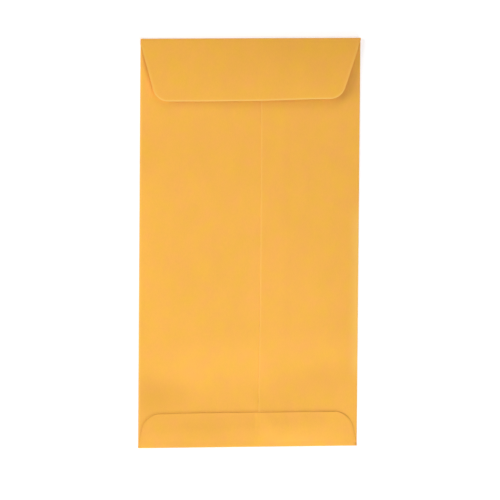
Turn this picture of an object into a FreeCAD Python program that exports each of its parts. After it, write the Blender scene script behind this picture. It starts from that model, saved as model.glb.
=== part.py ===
"""An open-end paper envelope: one sheet of kraft, folded and glued, lying on its face with its flaps up.

The origin is on the surface that it lies on, under the middle of its outline. +X is across, +Y runs up to
the seal flap, and +Z is up. Units are millimetres and degrees.
"""

import FreeCAD
import Part
import math
import os

# The sheet and the finished outline
PAPER = 0.14
WIDTH = 88.9
LENGTH = 165.1

# Side creases, and the pocket between the face and the back
CREASE_GAP = 0.24
POCKET_RISE = 1.7
THROAT_RISE = 0.3
PILLOW_EASE = 34.0
THROAT_DROP = 2.4

# Centre seam: the right back panel is glued down over the left one
SEAM_EDGE_X = 4.2
SEAM_OVERLAP = 8.8
SEAM_MARGIN = 0.4
SEAM_SLOPE = 4.0

# Bottom flap, folded up and glued over both back panels
BOTTOM_FLAP_DEPTH = 14.1
BOTTOM_FLAP_ANGLE = 11.0
BOTTOM_FLAP_RADIUS = 8.5
STEP_SLOPE = 1.4
CORNER_SLIT = 0.4
GLUE_BITE = 0.02

# Seal flap, folded down over the throat and left loose
SEAL_FLAP_DEPTH = 25.4
SEAL_FLAP_SHOULDER = 2.0
SEAL_FLAP_ANGLE = 16.3
SEAL_FLAP_RADIUS = 6.5
SEAL_FLAP_LIFT = 2.1
SEAL_FLAP_TWIST = 0.8
SEAL_FLAP_CLEARANCE = 0.15

# How far a blank is left oversize before its outline is cut
TRIM = 1.0

# Worked out from the values above
HALF_WIDTH = WIDTH / 2
HALF_LENGTH = LENGTH / 2
SIDE_RADIUS = PAPER + CREASE_GAP / 2
PANEL_HALF = HALF_WIDTH - SIDE_RADIUS
PANEL_Z = PAPER + CREASE_GAP
UNDER_EDGE_X = SEAM_EDGE_X + SEAM_OVERLAP
CLEAR_X = UNDER_EDGE_X + SEAM_MARGIN
LANDED_X = CLEAR_X + SEAM_SLOPE
BOTTOM_FLAP_Z = PANEL_Z + PAPER - GLUE_BITE
BOTTOM_RADIUS = (BOTTOM_FLAP_Z + PAPER) / 2
BOTTOM_ROOT_Y = BOTTOM_RADIUS - HALF_LENGTH
BOTTOM_EDGE_Y = BOTTOM_FLAP_DEPTH - HALF_LENGTH
PANEL_END_Y = BOTTOM_ROOT_Y + CORNER_SLIT
THROAT_Y = HALF_LENGTH - THROAT_DROP
SEAL_ROOT_Z = PANEL_Z + THROAT_RISE + 2 * PAPER + SEAL_FLAP_CLEARANCE
SEAL_RADIUS = (SEAL_ROOT_Z + PAPER) / 2
SEAL_ROOT_Y = HALF_LENGTH - SEAL_RADIUS
SEAL_EDGE_Y = HALF_LENGTH - SEAL_FLAP_DEPTH


def vector(x, y, z):
    return FreeCAD.Vector(x, y, z)


def line(start, end):
    return Part.LineSegment(start, end).toShape()


def arc(start, middle, end):
    return Part.Arc(start, middle, end).toShape()


def parabola(start, control, end):
    curve = Part.BezierCurve()
    curve.setPoles([start, control, end])
    return curve.toShape()


def chain(edges):
    """A closed wire of the edges in turn, with a straight edge across each break between two of them."""
    closed = []
    for edge, following in zip(edges, edges[1:] + edges[:1]):
        closed.append(edge)
        end = edge.valueAt(edge.LastParameter)
        start = following.valueAt(following.FirstParameter)
        if end.distanceToPoint(start) > GLUE_BITE / 100:
            closed.append(line(end, start))
    return Part.Wire(closed)


def bow(y, z, rise, start_x, end_x):
    """A stretch of a panel's bowed section: at z over the creases, and rise above it in the middle."""
    start_z = z + rise * (1 - (start_x / PANEL_HALF) ** 2)
    end_z = z + rise * (1 - (end_x / PANEL_HALF) ** 2)
    control_z = z + rise * (1 - start_x * end_x / PANEL_HALF**2)
    return parabola(
        vector(start_x, y, start_z), vector((start_x + end_x) / 2, y, control_z), vector(end_x, y, end_z)
    )


def tube_section(y, rise, inset, seam_x):
    """The folded tube's section, this far in from its outside, whose seam steps up one layer at seam_x."""
    low = inset
    high = 2 * SIDE_RADIUS - inset
    side = HALF_WIDTH - inset
    return chain(
        [
            line(vector(-PANEL_HALF, y, low), vector(PANEL_HALF, y, low)),
            arc(vector(PANEL_HALF, y, low), vector(side, y, SIDE_RADIUS), vector(PANEL_HALF, y, high)),
            bow(y, high, rise, PANEL_HALF, LANDED_X),
            bow(y, high + PAPER, rise, CLEAR_X, seam_x),
            bow(y, high, rise, seam_x, -PANEL_HALF),
            arc(vector(-PANEL_HALF, y, high), vector(-side, y, SIDE_RADIUS), vector(-PANEL_HALF, y, low)),
        ]
    )


def tube():
    """Face, side creases and back panels, joined along the centre seam and open at both ends."""
    stations = [
        (PANEL_END_Y, 0),
        (BOTTOM_EDGE_Y, 0),
        (BOTTOM_EDGE_Y + PILLOW_EASE, POCKET_RISE),
        (THROAT_Y - PILLOW_EASE, POCKET_RISE),
        (THROAT_Y, THROAT_RISE),
    ]
    outside = Part.makeLoft([tube_section(y, rise, 0, SEAM_EDGE_X) for y, rise in stations], True, True)
    pocket = Part.makeLoft([tube_section(y, rise, PAPER, UNDER_EDGE_X) for y, rise in stations], True, True)
    return outside.cut(pocket)


def face_strip(start_y, end_y):
    """The face at its full width, beyond the ends of the side creases."""
    return Part.makeBox(WIDTH, end_y - start_y, PAPER, vector(-HALF_WIDTH, start_y, 0))


def end_fold(radius, root_y, outward):
    """Half a tube of paper across the whole width, which bulges outward along Y."""
    x = -HALF_WIDTH
    tip = root_y + outward * radius
    outside = arc(vector(x, root_y, 0), vector(x, tip, radius), vector(x, root_y, 2 * radius))
    inside = arc(
        vector(x, root_y, 2 * radius - PAPER), vector(x, tip - outward * PAPER, radius), vector(x, root_y, PAPER)
    )
    return Part.Face(chain([outside, inside])).extrude(vector(WIDTH, 0, 0))


def flap_block(outline, edge_y, radius, height):
    """A block over a flap's outline, from the surface up, with its two corners at the free edge rounded."""
    points = [vector(x, y, 0) for x, y in outline]
    block = Part.Face(Part.makePolygon(points + points[:1])).extrude(vector(0, 0, height))
    corners = [
        edge
        for edge in block.Edges
        if edge.BoundBox.ZLength > height / 2 and abs(edge.CenterOfMass.y - edge_y) < TRIM / 2
    ]
    return block.makeFillet(radius, corners)


def bottom_flap():
    """The flap that is glued over both back panels, with a ridge where the seam lies under it."""
    side = HALF_WIDTH + TRIM
    top = BOTTOM_FLAP_Z + PAPER
    profile = [
        (-side, BOTTOM_FLAP_Z),
        (side, BOTTOM_FLAP_Z),
        (side, top),
        (LANDED_X, top),
        (CLEAR_X, top + PAPER),
        (SEAM_EDGE_X, top + PAPER),
        (SEAM_EDGE_X - STEP_SLOPE, top),
        (-side, top),
    ]
    points = [vector(x, BOTTOM_ROOT_Y, z) for x, z in profile]
    run = vector(0, BOTTOM_EDGE_Y + TRIM - BOTTOM_ROOT_Y, 0)
    slab = Part.Face(Part.makePolygon(points + points[:1])).extrude(run)
    slant = math.tan(math.radians(BOTTOM_FLAP_ANGLE))
    root = HALF_WIDTH + TRIM * slant
    edge = HALF_WIDTH - (BOTTOM_EDGE_Y - BOTTOM_ROOT_Y) * slant
    outline = [
        (-root, BOTTOM_ROOT_Y - TRIM),
        (root, BOTTOM_ROOT_Y - TRIM),
        (edge, BOTTOM_EDGE_Y),
        (-edge, BOTTOM_EDGE_Y),
    ]
    return slab.common(flap_block(outline, BOTTOM_EDGE_Y, BOTTOM_FLAP_RADIUS, top + 2 * PAPER))


def seal_flap_section(x):
    """The loose flap's section at x: it springs up from its fold and bends back level at its free edge."""
    low = SEAL_ROOT_Z
    high = low + SEAL_FLAP_LIFT + SEAL_FLAP_TWIST * x / HALF_WIDTH
    root_y = SEAL_ROOT_Y
    edge_y = SEAL_EDGE_Y
    middle_y = (root_y + edge_y) / 2
    under = parabola(vector(x, root_y, low), vector(x, middle_y, high), vector(x, edge_y, high))
    over = parabola(
        vector(x, edge_y, high + PAPER), vector(x, middle_y, high + PAPER), vector(x, root_y, low + PAPER)
    )
    return chain([under, over])


def seal_flap():
    """The flap over the throat, with short straight shoulders, slanting sides and round corners."""
    side = HALF_WIDTH + TRIM
    slab = Part.makeLoft([seal_flap_section(-side), seal_flap_section(side)], True, True)
    shoulder_y = HALF_LENGTH - SEAL_FLAP_SHOULDER
    edge = HALF_WIDTH - (shoulder_y - SEAL_EDGE_Y) * math.tan(math.radians(SEAL_FLAP_ANGLE))
    outline = [
        (HALF_WIDTH, SEAL_ROOT_Y + TRIM),
        (-HALF_WIDTH, SEAL_ROOT_Y + TRIM),
        (-HALF_WIDTH, shoulder_y),
        (-edge, SEAL_EDGE_Y),
        (edge, SEAL_EDGE_Y),
        (HALF_WIDTH, shoulder_y),
    ]
    height = SEAL_ROOT_Z + SEAL_FLAP_LIFT + SEAL_FLAP_TWIST + TRIM
    return slab.common(flap_block(outline, SEAL_EDGE_Y, SEAL_FLAP_RADIUS, height))


def envelope():
    """The whole folded sheet as one solid, in which the layers that are glued have grown together."""
    pieces = [
        face_strip(BOTTOM_ROOT_Y, PANEL_END_Y),
        face_strip(THROAT_Y, SEAL_ROOT_Y),
        end_fold(BOTTOM_RADIUS, BOTTOM_ROOT_Y, -1),
        bottom_flap(),
        end_fold(SEAL_RADIUS, SEAL_ROOT_Y, 1),
        seal_flap(),
    ]
    return tube().multiFuse(pieces).removeSplitter()


os.makedirs("parts", exist_ok=True)
shape = envelope()
print("solids", len(shape.Solids), "valid", shape.isValid(), "volume mm3", round(shape.Volume, 1))
shape.Solids[0].exportStep("parts/envelope.step")
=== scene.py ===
import math

import bpy
import numpy as np
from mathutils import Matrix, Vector


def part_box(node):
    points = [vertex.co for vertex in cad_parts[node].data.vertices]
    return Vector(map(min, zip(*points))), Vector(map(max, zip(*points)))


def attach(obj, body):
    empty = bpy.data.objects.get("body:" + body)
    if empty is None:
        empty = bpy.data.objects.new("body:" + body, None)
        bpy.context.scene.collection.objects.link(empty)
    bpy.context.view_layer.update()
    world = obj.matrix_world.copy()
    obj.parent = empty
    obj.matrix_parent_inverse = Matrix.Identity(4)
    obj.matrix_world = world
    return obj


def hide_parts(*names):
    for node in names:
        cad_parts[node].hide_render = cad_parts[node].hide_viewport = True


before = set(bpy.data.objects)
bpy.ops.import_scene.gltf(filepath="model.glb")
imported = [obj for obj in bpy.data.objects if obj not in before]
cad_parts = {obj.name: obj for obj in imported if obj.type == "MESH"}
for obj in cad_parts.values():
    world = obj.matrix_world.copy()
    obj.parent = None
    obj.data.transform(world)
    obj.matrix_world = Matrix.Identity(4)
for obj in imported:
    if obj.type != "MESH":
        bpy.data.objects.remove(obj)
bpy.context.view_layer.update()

MM = 0.001

# The folded sheet, in millimetres, as the frame holds it
far_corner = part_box("envelope")[1]
HALF_WIDTH = far_corner.x / MM
HALF_LENGTH = far_corner.y / MM
PAPER = 0.14
SIDE_RADIUS = 0.26
BOTTOM_RADIUS = 0.335
SEAL_RADIUS = 0.625
CORNER_SLIT = 0.4
THROAT_DROP = 2.4
SEAM_EDGE_X = 4.2
UNDER_EDGE_X = 13.0
SEAM_MARGIN = 0.4
SEAM_SLOPE = 4.0
GLUE_GAP = 0.01
BOTTOM_FLAP_DEPTH = 14.1
SEAL_FLAP_DEPTH = 25.4

# How far the flaps spring up at their free edges, how much more the seal flap does at the right, and how far
# the seam raises it
BOTTOM_SPRING = 0.05
SEAL_LIFT = 2.0
SEAL_TWIST = 0.78
SEAM_IMPRINT = 0.12

# How far the back stands above its creases, from the bottom fold up to the throat, and how full its sides are
PUFF_PLACES = (-82.0, -74.5, -58.0, -36.0, -15.0, 20.0, 60.0, 80.0)
PUFF_HEIGHTS = (0.0, 0.5, 0.0, 1.5, 1.85, 1.6, 0.85, 0.35)
PUFF_SLANT = 0.08
LEFT_FULLNESS = 6.0
RIGHT_FULLNESS = 2.6

# Two lesser forms of the back, as height, place and reach: a swell low on the right, and a dent on the left
SWELL_HEIGHT = 0.25
SWELL_Y = -75.0
SWELL_REACH = 5.0
DENT_DEPTH = 0.4
DENT_PLACE = (-31.0, -57.0)
DENT_REACH = (9.0, 7.0)

# The crease across the bottom flap: where it starts at the free edge, its slant, and its step and hollow
CREASE_START_X = 5.5
CREASE_SLANT = 0.6
CREASE_STEP = 0.36
CREASE_HOLLOW = 0.10

# How pale the side creases and the seam's edge are: partly rubbed wear, partly painted light, lighter on the
# left and low down on the right
LEFT_CREASE_WEAR_AND_LIGHT = 0.25
RIGHT_CREASE_WEAR_AND_LIGHT = 0.10
RIGHT_LOW_PAINTED_LIGHT = 0.45
SEAM_WEAR_AND_HIGHLIGHT = 0.33
SEAM_MIDDLE_WEAR_AND_HIGHLIGHT = 0.15

# Darker patches of painted shade on the back, and spots of painted shadow in the gaps at the bottom corners:
# place, reach across and along, and depth
PAINTED_SHADE_PATCHES = (
    ((-18.0, -76.0), (23.0, 7.0), 0.17),
    ((-38.5, -61.0), (10.5, 8.0), 0.20),
    ((28.0, -54.0), (14.0, 5.0), 0.09),
    ((-42.0, 37.0), (6.0, 11.0), 0.10),
    ((-44.2, -82.0), (0.6, 0.5), 0.20),
    ((44.2, -81.85), (0.55, 0.5), 1.15),
)

# Worked out from the values above
CLEAR_X = UNDER_EDGE_X + SEAM_MARGIN
LANDED_X = CLEAR_X + SEAM_SLOPE
PANEL_HALF = HALF_WIDTH - SIDE_RADIUS
PANEL_MIDDLE_Z = 2 * SIDE_RADIUS - PAPER / 2
BOTTOM_ROOT_Y = BOTTOM_RADIUS - HALF_LENGTH
BOTTOM_EDGE_Y = BOTTOM_FLAP_DEPTH - HALF_LENGTH
SEAL_ROOT_Y = HALF_LENGTH - SEAL_RADIUS
SEAL_EDGE_Y = HALF_LENGTH - SEAL_FLAP_DEPTH
PANEL_END_Y = BOTTOM_ROOT_Y + CORNER_SLIT
THROAT_Y = HALF_LENGTH - THROAT_DROP

# Each flap's left and right corners: where its shoulder starts, its half width at the free edge, and radius
BOTTOM_CORNERS = [(BOTTOM_ROOT_Y, 42.1, 7.6), (BOTTOM_ROOT_Y, 41.6, 8.0)]
SEAL_CORNERS = [(HALF_LENGTH - 2.2, 38.3, 6.5), (HALF_LENGTH - 0.65, 36.4, 6.5)]

# The mesh: points round half a turn of a fold, the angle from which an edge is sharp, the rows' spacing, and
# how near a flap's free edge the rows close up
FOLD_POINTS = 13
SHARP_ANGLE = 40
LONG_STEP = 1.6
ROW_STEP = 0.8
NEAR_STEP = 0.5
EDGE_STEP = 0.12
NEAR_EDGE = 6.0
AT_EDGE = 1.0

# How far in from a flap's edge its pale rim (partly rubbed, partly painted highlight) and its line of painted
# shadow reach, and how strong they are at the sides
RIM_REACH = 0.9
RIM_SIDES = 0.12
EDGE_SHADOW_REACH = 0.35
EDGE_SHADOW_SIDES = 0.4

KRAFT_COLOUR = (0.920, 0.450, 0.058)
CUT_EDGE_COLOUR = (0.93, 0.50, 0.12)
# Pale colour of rubbed edges and creases, also used as painted highlight where light catches them
PALE_WEAR_AND_HIGHLIGHT_COLOUR = (0.985, 0.60, 0.135)
# Colour of painted shade and painted shadow
PAINTED_SHADE_COLOUR = (0.50, 0.19, 0.0)

# The paper's sheen, and its cloudy tone, its fibres, its tint and its relief: how fine and how strong each is
PAPER_ROUGHNESS = 0.5
PAPER_SHEEN = 0.38
NOISE_LOW = 0.25
NOISE_HIGH = 0.75
NOISE_ROUGHNESS = 0.6
CLOUD_SCALE = 110.0
CLOUD_DEPTH = 0.025
FIBRE_SCALE = 1900.0
FIBRE_DEPTH = 0.023
TINT_SCALE = 150.0
YELLOW_TINT = (0.989, 1.042, 0.78)
PINK_TINT = (1.011, 0.958, 1.22)
RELIEF_SCALE = 2200.0
RELIEF_STRENGTH = 0.35
RELIEF_HEIGHT = 0.03

# The floor's half width in metres, how far below the sheet it is, its grey, and its glow where it is seen
FLOOR_HALF = 3.0
FLOOR_DROP = 0.05
FLOOR_GREY = 0.85
FLOOR_LIFT = 0.36
ROOM_LIGHT = 0.04

# Each square lamp: its name, its place and size in metres, and its share of the light
SOFTBOXES = (
    ("left_softbox", (-0.80, 0.20, 0.42), 0.60, 0.35),
    ("far_softbox", (0.0, 1.12, 0.56), 0.45, 0.10),
    ("near_softbox", (0.50, -1.10, 0.32), 0.40, 0.20),
    ("overhead_softbox", (0.04, -0.14, 0.38), 0.44, 0.44),
)

# The camera, fitted to the outline's four corners: place in millimetres, turn in degrees, and sight in metres
CAMERA_PLACE = (-392.2, 306.1, 2743.4)
CAMERA_TURN = (-6.422, -8.095, 0.442)
CAMERA_LENS = 500.0
CAMERA_SIGHT = 20.0
SENSOR_WIDTH = 36.0


def smooth(value, start, end):
    """0 at start and 1 at end, with a soft bend at both; start may be the larger."""
    share = np.clip((value - start) / (end - start), 0.0, 1.0)
    return share * share * (3 - 2 * share)


def bump(value, middle, reach):
    """1 at middle, falling softly towards 0 at about twice the reach."""
    return np.exp(-(((value - middle) / reach) ** 2))


def profile(value, places, heights):
    """A soft curve through heights at rising places."""
    result = np.full(np.shape(value), float(heights[0]))
    for i in range(1, len(places)):
        result = result + (heights[i] - heights[i - 1]) * smooth(value, places[i - 1], places[i])
    return result


def waves(x, y):
    """The slow unevenness of handled paper."""
    slow = 0.10 * np.sin(x / 13.0 + 0.6) * np.sin(y / 21.0 + 1.1)
    slow += 0.07 * np.sin(x / 8.5 - y / 15.0 + 2.0)
    slow += 0.05 * np.sin(x / 19.0 + y / 9.5 + 0.3)
    dent = DENT_DEPTH * bump(x, DENT_PLACE[0], DENT_REACH[0]) * bump(y, DENT_PLACE[1], DENT_REACH[1])
    return slow - dent


def flap_crease(x, y):
    """A slanting crease pressed across the bottom flap and the panels that it is glued to."""
    crease_x = CREASE_START_X + CREASE_SLANT * (BOTTOM_EDGE_Y - y)
    step = CREASE_STEP * smooth(x, crease_x - 4.0, crease_x + 1.5) * smooth(x, 42.0, crease_x + 3.0)
    hollow = CREASE_HOLLOW * bump(x, crease_x - 5.5, 3.0)
    return (step - hollow) * smooth(y, BOTTOM_EDGE_Y + 12.0, BOTTOM_EDGE_Y - 4.0)


def pillow(x, y):
    """How far the pocket swells: full and round-shouldered on the left, and sloping off on the right."""
    fullness = np.where(x < 0, LEFT_FULLNESS, RIGHT_FULLNESS)
    across = 1 - np.minimum(np.abs(x) / PANEL_HALF, 1.0) ** fullness
    slanted = y - PUFF_SLANT * x * smooth(np.abs(y), HALF_LENGTH, 60.0)
    rooted = smooth(y, BOTTOM_ROOT_Y, BOTTOM_ROOT_Y + 4.0)
    swell = SWELL_HEIGHT * bump(y, SWELL_Y, SWELL_REACH) * smooth(x, -12.0, 10.0) * rooted
    rise = profile(slanted, PUFF_PLACES, PUFF_HEIGHTS) + swell
    settled = smooth(y, BOTTOM_EDGE_Y - 3.0, BOTTOM_EDGE_Y + 14.0)
    return across * (rise + waves(x, y) * settled) + flap_crease(x, y) * rooted


def face_z(x, y):
    """The address face, which lies flat."""
    return np.full(np.shape(x), PAPER / 2)


def under_z(x, y):
    """The left back panel."""
    return PANEL_MIDDLE_Z + pillow(x, y)


def over_z(x, y):
    """The right back panel, which is one layer higher where it lies on the left one."""
    layer = smooth(x, LANDED_X, CLEAR_X)
    return PANEL_MIDDLE_Z + pillow(x, y) + (PAPER + GLUE_GAP) * layer


def painted_shade_depth(x, y):
    """How much painted shade the back has at a point."""
    total = 0.0
    for (middle_x, middle_y), (reach_x, reach_y), depth in PAINTED_SHADE_PATCHES:
        total += depth * bump(x, middle_x, reach_x) * bump(y, middle_y, reach_y)
    return total


def crease_wear_and_light(x, y):
    """How pale a back panel is beside its side crease, partly rubbed wear and partly painted light: broader
    low down on the right.
    """
    low_down = smooth(y, 20.0, 5.0) * smooth(y, -58.0, -48.0)
    left = LEFT_CREASE_WEAR_AND_LIGHT * smooth(x, 1.4 - HALF_WIDTH, -HALF_WIDTH)
    right = RIGHT_CREASE_WEAR_AND_LIGHT * smooth(x, HALF_WIDTH - 1.2, HALF_WIDTH)
    # A band of painted light, low down beside the right crease
    right = right + RIGHT_LOW_PAINTED_LIGHT * smooth(x, HALF_WIDTH - 5.0, HALF_WIDTH) * low_down
    return np.where(x < 0, left, right)


def over_wear_and_highlight(x, y):
    """How pale the right back panel is, partly rubbed wear and partly painted highlight: at the seam, most in
    the middle of its length, and at its crease.
    """
    seam = SEAM_WEAR_AND_HIGHLIGHT + SEAM_MIDDLE_WEAR_AND_HIGHLIGHT * bump(y, -2.0, 30.0)
    return np.maximum(seam * smooth(x, SEAM_EDGE_X + RIM_REACH, SEAM_EDGE_X), crease_wear_and_light(x, y))


def bottom_flap_z(x, y):
    """The bottom flap, which shows the seam under it and springs up a little at its edge and sides."""
    layer = smooth(x, LANDED_X, CLEAR_X) * smooth(x, SEAM_EDGE_X - 1.6, SEAM_EDGE_X)
    side = np.abs(x) - (HALF_WIDTH - (y - BOTTOM_ROOT_Y) * 0.21)
    near_border = np.maximum(smooth(y, BOTTOM_EDGE_Y - 2.0, BOTTOM_EDGE_Y), smooth(side, -2.0, 0.0))
    spring = BOTTOM_SPRING * near_border
    base = 2 * BOTTOM_RADIUS - PAPER / 2
    return base + pillow(x, y) + (PAPER * layer + spring) * smooth(y, BOTTOM_ROOT_Y, BOTTOM_ROOT_Y + 2.5)


def bottom_shift(x):
    """How far towards +Y the bottom flap's free edge is from its even depth, at x."""
    return 0.12 - 0.30 * smooth(x, -16.0, -36.0)


def bottom_edge_shadow(x):
    """How dark the line of painted shadow along the bottom flap's free edge is at x."""
    left = 0.50 + 0.20 * smooth(x, -40.0, -20.0)
    return left - 0.20 * smooth(x, 14.0, 28.0) + 0.50 * smooth(x, 33.0, 39.0)


def seal_flap_z(x, y):
    """The seal flap, which curves up from its fold and ends level."""
    share = (SEAL_ROOT_Y - y) / (SEAL_ROOT_Y - SEAL_EDGE_Y)
    lift = SEAL_LIFT + SEAL_TWIST * x / HALF_WIDTH
    uneven = 0.07 * np.sin(x / 11.0 + 0.4) + 0.05 * np.sin(x / 5.0 + y / 7.0)
    over_seam = smooth(x, SEAM_EDGE_X - 2.0, SEAM_EDGE_X + 1.0) * smooth(x, UNDER_EDGE_X + 8.0, UNDER_EDGE_X)
    imprint = SEAM_IMPRINT * over_seam
    return 2 * SEAL_RADIUS - PAPER / 2 + lift * share * (2 - share) + (uneven + imprint) * share


def seal_shift(x):
    """How far towards +Y the seal flap's free edge is from its even depth, at x."""
    return 0.35 + 0.15 * smooth(x, -20.0, 2.0) + 0.65 * smooth(x, -2.0, 32.0)


def stations(*stops):
    """Places along an axis, from (start, step) pairs that end with a single stop."""
    places = []
    for (start, step), following in zip(stops, stops[1:]):
        end = following[0] if isinstance(following, tuple) else following
        count = max(1, round(abs(end - start) / step))
        places += [start + (end - start) * i / count for i in range(count)]
    return np.array(places + [stops[-1]])


class Sheet:
    """One sheet of paper as a net of patches, joined where their edges meet."""

    def __init__(self):
        self.points = {}
        self.wear_and_highlight = {}
        self.painted_shade = {}
        self.faces = []

    def index(self, point):
        """The point's number; points that round to the same place are one."""
        key = tuple(round(float(v), 4) for v in point)
        return self.points.setdefault(key, len(self.points))

    def patch(self, x, y, z, rim=None, painted_shade=None):
        """Adds a net of points, as arrays of rows by columns, with how pale (wear and painted highlight) and
        how much painted shade each one has.
        """
        rows, columns = x.shape
        net = [[self.index((x[i, j], y[i, j], z[i, j])) for j in range(columns)] for i in range(rows)]
        for values, kept in ((rim, self.wear_and_highlight), (painted_shade, self.painted_shade)):
            if values is not None:
                kept.update({net[i][j]: float(values[i, j]) for i in range(rows) for j in range(columns)})
        for i in range(rows - 1):
            for j in range(columns - 1):
                self.faces.append((net[i][j], net[i][j + 1], net[i + 1][j + 1], net[i + 1][j]))

    def panel(self, xs, ys, height, rim=None):
        """Adds a patch over a grid of places, with its height and how pale it is (wear and painted light) as
        functions of them.
        """
        x, y = np.meshgrid(xs, ys)
        self.patch(x, y, height(x, y), rim(x, y) if rim else None)

    def mesh(self, name):
        """The net as a mesh, whose points carry how pale the paper is (wear and painted highlight) and how
        much painted shade it has.
        """
        mesh = bpy.data.meshes.new(name)
        mesh.from_pydata([[v * MM for v in point] for point in self.points], [], self.faces)
        wear_and_highlight = mesh.attributes.new("wear_and_highlight", "FLOAT", "POINT")
        painted_shade = mesh.attributes.new("painted_shade", "FLOAT", "POINT")
        for (x, y, z), vertex in self.points.items():
            wear_and_highlight.data[vertex].value = self.wear_and_highlight.get(vertex, 0.0)
            # Points above the face also take the painted shade of the back's patches
            painted_shade.data[vertex].value = self.painted_shade.get(vertex, 0.0) + (painted_shade_depth(x, y) if z > PAPER else 0.0)
        return mesh


def flap_end(y, shoulder_y, edge_y, reach, radius):
    """How far out a flap goes at y on one side: slanting in from its shoulder, then round its corner."""
    depth = abs(edge_y - shoulder_y)
    past = (shoulder_y - y) * np.sign(shoulder_y - edge_y)
    slant = math.atan2(HALF_WIDTH - reach, depth)
    side = HALF_WIDTH - (HALF_WIDTH - reach) * min(max(past / depth, 0.0), 1.0)
    inset = abs(edge_y - y)
    if inset < radius * (1 - math.sin(slant)):
        centre = reach - radius * math.tan(math.pi / 4 - slant / 2)
        side = centre + math.sqrt(max(0.0, radius**2 - (radius - inset) ** 2))
    return side


def add_fold(sheet, xs, root_y, outward, radius):
    """Half a turn of paper along an end of the envelope, from the face up to a flap's root."""
    turn = np.linspace(0, math.pi, FOLD_POINTS)
    middle = radius - PAPER / 2
    x, angle = np.meshgrid(xs, turn)
    sheet.patch(x, root_y + outward * middle * np.sin(angle), radius - middle * np.cos(angle))


def add_side_fold(sheet, ys, side):
    """The crease on one side, from the face up to a back panel."""
    turn = np.linspace(0, math.pi, FOLD_POINTS)
    middle = SIDE_RADIUS - PAPER / 2
    angle, y = np.meshgrid(turn, ys)
    x = side * (PANEL_HALF + middle * np.sin(angle))
    rim = crease_wear_and_light(x, y) * smooth(angle, 0.0, math.pi / 2)
    sheet.patch(x, y, SIDE_RADIUS - middle * np.cos(angle), rim)


def flap_rows(root_y, edge_y):
    """Places of a flap's rows from its root to its free edge, where they are closest together."""
    back = np.sign(root_y - edge_y)
    near = (edge_y + back * NEAR_EDGE, NEAR_STEP)
    return stations((root_y, ROW_STEP), near, (edge_y + back * AT_EDGE, EDGE_STEP), edge_y)


def add_flap(sheet, roots, root_y, edge_y, corners, height, shift, rim_wear_and_highlight=0.0, edge_shadow_strength=0.0):
    """A flap whose corners, left and right, are each (shoulder_y, reach, radius)."""
    ys = flap_rows(root_y, edge_y)
    ends = [[flap_end(y, start_y, edge_y, reach, radius) for start_y, reach, radius in corners] for y in ys]
    left, right = np.array(ends).T
    share = roots / HALF_WIDTH
    x = np.where(share < 0, left[:, None] * share, right[:, None] * share)
    y = np.repeat(ys[:, None], len(roots), axis=1)
    z = height(x, y)
    run = np.where(share < 0, np.gradient(left, ys)[:, None], np.gradient(right, ys)[:, None])
    inside = np.where(share < 0, x + left[:, None], right[:, None] - x) / np.hypot(1.0, run)
    facing = np.abs(run) / np.hypot(1.0, run)
    rooted = smooth(np.abs(y - root_y), 0.0, 3.0)

    def border(reach, sides):
        """1 at the free edge and less along the sides, falling to 0 this far in."""
        along_sides = (sides + (1 - sides) * facing) * smooth(inside, reach, 0.0)
        return np.maximum(along_sides, smooth(np.abs(y - edge_y), reach, 0.0)) * rooted

    # The pale rim is partly rubbed wear and partly a painted highlight where the cut edge catches the light
    rim = rim_wear_and_highlight * border(RIM_REACH, RIM_SIDES)
    # A line of painted shadow along the free edge and sides, where the flap's edge shades the paper beside it
    edge_shadow = edge_shadow_strength * border(EDGE_SHADOW_REACH, EDGE_SHADOW_SIDES)
    sheet.patch(x, y + shift(x) * np.abs(y - root_y) / abs(edge_y - root_y), z, rim, edge_shadow)


def folded_sheet():
    """The whole sheet: face, side creases, back panels, end folds and flaps."""
    sheet = Sheet()
    panel_ys = stations((PANEL_END_Y, ROW_STEP), (BOTTOM_EDGE_Y + 8.0, LONG_STEP), THROAT_Y)
    face_ys = np.concatenate(([BOTTOM_ROOT_Y], panel_ys, [(THROAT_Y + SEAL_ROOT_Y) / 2, SEAL_ROOT_Y]))
    face_xs = stations((-PANEL_HALF, 1.0), (SEAM_EDGE_X - 2.5, 0.25), (SEAM_EDGE_X + 1, 1.0), PANEL_HALF)
    end_xs = np.concatenate(([-HALF_WIDTH], face_xs, [HALF_WIDTH]))
    sheet.panel(face_xs, face_ys, face_z)
    for side in (-1, 1):
        strip_xs = np.array([side * PANEL_HALF, side * HALF_WIDTH])
        sheet.panel(strip_xs, face_ys[:2], face_z)
        sheet.panel(strip_xs, face_ys[-3:], face_z)
        add_side_fold(sheet, panel_ys, side)
    under_xs = stations((-PANEL_HALF, 0.9), (SEAM_EDGE_X, 1.4), UNDER_EDGE_X)
    over_xs = stations((SEAM_EDGE_X, 0.3), (SEAM_EDGE_X + 2, 0.8), PANEL_HALF)
    sheet.panel(under_xs, panel_ys, under_z, crease_wear_and_light)
    sheet.panel(over_xs, panel_ys, over_z, over_wear_and_highlight)
    add_fold(sheet, end_xs, BOTTOM_ROOT_Y, -1, BOTTOM_RADIUS)
    add_fold(sheet, end_xs, SEAL_ROOT_Y, 1, SEAL_RADIUS)
    bottom = (BOTTOM_ROOT_Y, BOTTOM_EDGE_Y, BOTTOM_CORNERS, bottom_flap_z, bottom_shift)
    seal = (SEAL_ROOT_Y, SEAL_EDGE_Y, SEAL_CORNERS, seal_flap_z, seal_shift)
    # The bottom flap's edge gets a line of painted shadow
    add_flap(sheet, end_xs, *bottom, edge_shadow_strength=bottom_edge_shadow(end_xs))
    # The seal flap's edge gets a pale rim, partly wear and partly painted highlight
    add_flap(sheet, end_xs, *seal, rim_wear_and_highlight=1.0)
    return sheet


def socket(node, name, value):
    """Sets the value of a node's input."""
    node.inputs[name].default_value = value


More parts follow.
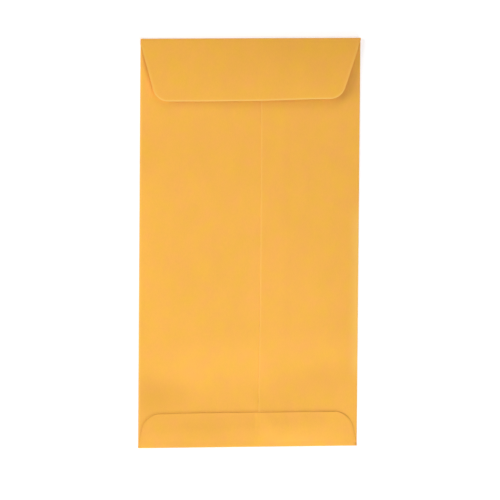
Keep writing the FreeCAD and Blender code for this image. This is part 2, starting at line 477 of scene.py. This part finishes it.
def paper_material(name, colour):
    """Kraft paper: fine fibres over a cloudy mottle of tone and tint, with painted shade where it is
    darkened, and paler where an edge is worn or a highlight is painted.
    """
    material = bpy.data.materials.new(name)
    material.use_nodes = True
    nodes = material.node_tree.nodes
    links = material.node_tree.links
    shader = nodes["Principled BSDF"]
    socket(shader, "Roughness", PAPER_ROUGHNESS)
    socket(shader, "Specular IOR Level", PAPER_SHEEN)
    place = nodes.new("ShaderNodeTexCoord")

    def noise(scale, detail, stretch):
        """A noise over the object, this fine, stretched along the axes whose share is small."""
        mapping = nodes.new("ShaderNodeMapping")
        mapping.inputs["Scale"].default_value = stretch
        links.new(place.outputs["Object"], mapping.inputs["Vector"])
        texture = nodes.new("ShaderNodeTexNoise")
        socket(texture, "Scale", scale)
        socket(texture, "Detail", detail)
        socket(texture, "Roughness", NOISE_ROUGHNESS)
        links.new(mapping.outputs["Vector"], texture.inputs["Vector"])
        return texture.outputs["Fac"]

    def ranged(value, low, high):
        """A noise's usual span carried over to low and high."""
        node = nodes.new("ShaderNodeMapRange")
        socket(node, "From Min", NOISE_LOW)
        socket(node, "From Max", NOISE_HIGH)
        socket(node, "To Min", low)
        socket(node, "To Max", high)
        links.new(value, node.inputs["Value"])
        return node.outputs["Result"]

    def mixed(share, first, second):
        """One colour going over to another, each a value or a node's output."""
        node = nodes.new("ShaderNodeMix")
        node.data_type = "RGBA"
        links.new(share, node.inputs["Factor"])
        for side, value in (("A", first), ("B", second)):
            entry = [item for item in node.inputs if item.name == side and item.type == "RGBA"][0]
            if isinstance(value, tuple):
                entry.default_value = (*value, 1.0)
            else:
                links.new(value, entry)
        return [item for item in node.outputs if item.type == "RGBA"][0]

    def tinted(shares):
        """The paper's own colour, with its red, green and blue changed by these shares."""
        return tuple(part * share for part, share in zip(colour, shares))

    cloud = ranged(noise(CLOUD_SCALE, 4.0, (1.0, 0.7, 1.0)), 1 - CLOUD_DEPTH, 1 + CLOUD_DEPTH)
    fibre = ranged(noise(FIBRE_SCALE, 4.0, (1.0, 0.5, 1.0)), 1 - FIBRE_DEPTH, 1 + FIBRE_DEPTH)
    tone = nodes.new("ShaderNodeMath")
    tone.operation = "MULTIPLY"
    links.new(cloud, tone.inputs[0])
    links.new(fibre, tone.inputs[1])
    tint = ranged(noise(TINT_SCALE, 2.0, (1.0, 1.0, 1.0)), 0.0, 1.0)
    body = mixed(tint, tinted(YELLOW_TINT), tinted(PINK_TINT))
    scaled = nodes.new("ShaderNodeVectorMath")
    scaled.operation = "SCALE"
    links.new(body, scaled.inputs[0])
    links.new(tone.outputs["Value"], scaled.inputs["Scale"])
    # Painted shade darkens the colour, then pale wear and painted highlight lighten it
    painted_shade = nodes.new("ShaderNodeAttribute")
    painted_shade.attribute_name = "painted_shade"
    wear_and_highlight = nodes.new("ShaderNodeAttribute")
    wear_and_highlight.attribute_name = "wear_and_highlight"
    with_painted_shade = mixed(painted_shade.outputs["Fac"], scaled.outputs["Vector"], PAINTED_SHADE_COLOUR)
    links.new(mixed(wear_and_highlight.outputs["Fac"], with_painted_shade, PALE_WEAR_AND_HIGHLIGHT_COLOUR), shader.inputs["Base Color"])
    relief = nodes.new("ShaderNodeBump")
    socket(relief, "Strength", RELIEF_STRENGTH)
    socket(relief, "Distance", RELIEF_HEIGHT * MM)
    links.new(noise(RELIEF_SCALE, 3.0, (1.0, 0.5, 1.0)), relief.inputs["Height"])
    links.new(relief.outputs["Normal"], shader.inputs["Normal"])
    return material


def build_envelope():
    """The sheet's mesh, given the paper's thickness and put in the place of the frame's solid."""
    mesh = folded_sheet().mesh("kraft_envelope")
    piece = bpy.data.objects.new("kraft_envelope", mesh)
    bpy.context.scene.collection.objects.link(piece)
    mesh.materials.append(paper_material("kraft_paper", KRAFT_COLOUR))
    mesh.materials.append(paper_material("kraft_cut_edge", CUT_EDGE_COLOUR))
    bpy.context.view_layer.objects.active = piece
    piece.select_set(True)
    bpy.ops.object.mode_set(mode="EDIT")
    bpy.ops.mesh.select_all(action="SELECT")
    bpy.ops.mesh.normals_make_consistent(inside=False)
    bpy.ops.object.mode_set(mode="OBJECT")
    thick = piece.modifiers.new("thickness", "SOLIDIFY")
    thick.thickness = PAPER * MM
    thick.offset = 0.0
    thick.material_offset_rim = 1
    bpy.ops.object.modifier_apply(modifier=thick.name)
    mesh.shade_smooth()
    mesh.set_sharp_from_angle(angle=math.radians(SHARP_ANGLE))
    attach(piece, "root")
    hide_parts("envelope")


def seen_directly(nodes, links):
    """1 for rays from the camera and for those that mirrors and glass pass on, and 0 for the light itself."""
    path = nodes.new("ShaderNodeLightPath")
    total = path.outputs["Is Camera Ray"]
    for name in ("Is Glossy Ray", "Is Transmission Ray"):
        larger = nodes.new("ShaderNodeMath")
        larger.operation = "MAXIMUM"
        links.new(total, larger.inputs[0])
        links.new(path.outputs[name], larger.inputs[1])
        total = larger.outputs["Value"]
    return total


def between(nodes, links, share, low, high):
    """A value that goes from low to high as share goes from 0 to 1."""
    node = nodes.new("ShaderNodeMapRange")
    socket(node, "To Min", low)
    socket(node, "To Max", high)
    links.new(share, node.inputs["Value"])
    return node.outputs["Result"]


def floor_material():
    """A pale floor that takes the light and shadows, lifted towards white where it is seen."""
    material = bpy.data.materials.new("pale_floor")
    material.use_nodes = True
    nodes = material.node_tree.nodes
    links = material.node_tree.links
    shader = nodes["Principled BSDF"]
    socket(shader, "Base Color", (FLOOR_GREY, FLOOR_GREY, FLOOR_GREY, 1.0))
    socket(shader, "Roughness", 1.0)
    socket(shader, "Specular IOR Level", 0.0)
    socket(shader, "Emission Color", (1.0, 1.0, 1.0, 1.0))
    lift = between(nodes, links, seen_directly(nodes, links), 0.0, FLOOR_LIFT)
    links.new(lift, shader.inputs["Emission Strength"])
    return material


def build_floor():
    """A square floor just below the sheet."""
    half = FLOOR_HALF
    z = -FLOOR_DROP * MM
    mesh = bpy.data.meshes.new("floor")
    corners = [(-half, -half, z), (half, -half, z), (half, half, z), (-half, half, z)]
    mesh.from_pydata(corners, [], [(0, 1, 2, 3)])
    mesh.materials.append(floor_material())
    floor = bpy.data.objects.new("floor", mesh)
    bpy.context.scene.collection.objects.link(floor)


def build_world():
    """A white surround that gives only a little light of its own."""
    world = bpy.data.worlds.new("soft_room")
    bpy.context.scene.world = world
    world.use_nodes = True
    nodes = world.node_tree.nodes
    links = world.node_tree.links
    background = nodes["Background"]
    socket(background, "Color", (1.0, 1.0, 1.0, 1.0))
    strength = between(nodes, links, seen_directly(nodes, links), ROOM_LIGHT, 1.0)
    links.new(strength, background.inputs["Strength"])


def build_softbox(name, place, size, share):
    """A square lamp aimed at the origin, where it gives this share of the light that shows white as white."""
    data = bpy.data.lights.new(name, "AREA")
    data.size = size
    lamp = bpy.data.objects.new(name, data)
    lamp.location = place
    lamp.rotation_euler = Vector(place).to_track_quat("Z", "Y").to_euler()
    distance = Vector(place).length
    data.energy = share * math.pi**2 * distance**3 / place[2]
    bpy.context.scene.collection.objects.link(lamp)


def build_camera():
    """A camera far above the back, with a long lens."""
    data = bpy.data.cameras.new("camera")
    data.lens = CAMERA_LENS
    data.sensor_width = SENSOR_WIDTH
    data.clip_end = CAMERA_SIGHT
    camera = bpy.data.objects.new("camera", data)
    camera.location = [v * MM for v in CAMERA_PLACE]
    camera.rotation_euler = [math.radians(v) for v in CAMERA_TURN]
    bpy.context.scene.collection.objects.link(camera)
    bpy.context.scene.camera = camera


build_envelope()
build_floor()
build_world()
for softbox in SOFTBOXES:
    build_softbox(*softbox)
build_camera()
bpy.context.scene.view_settings.view_transform = "Standard"
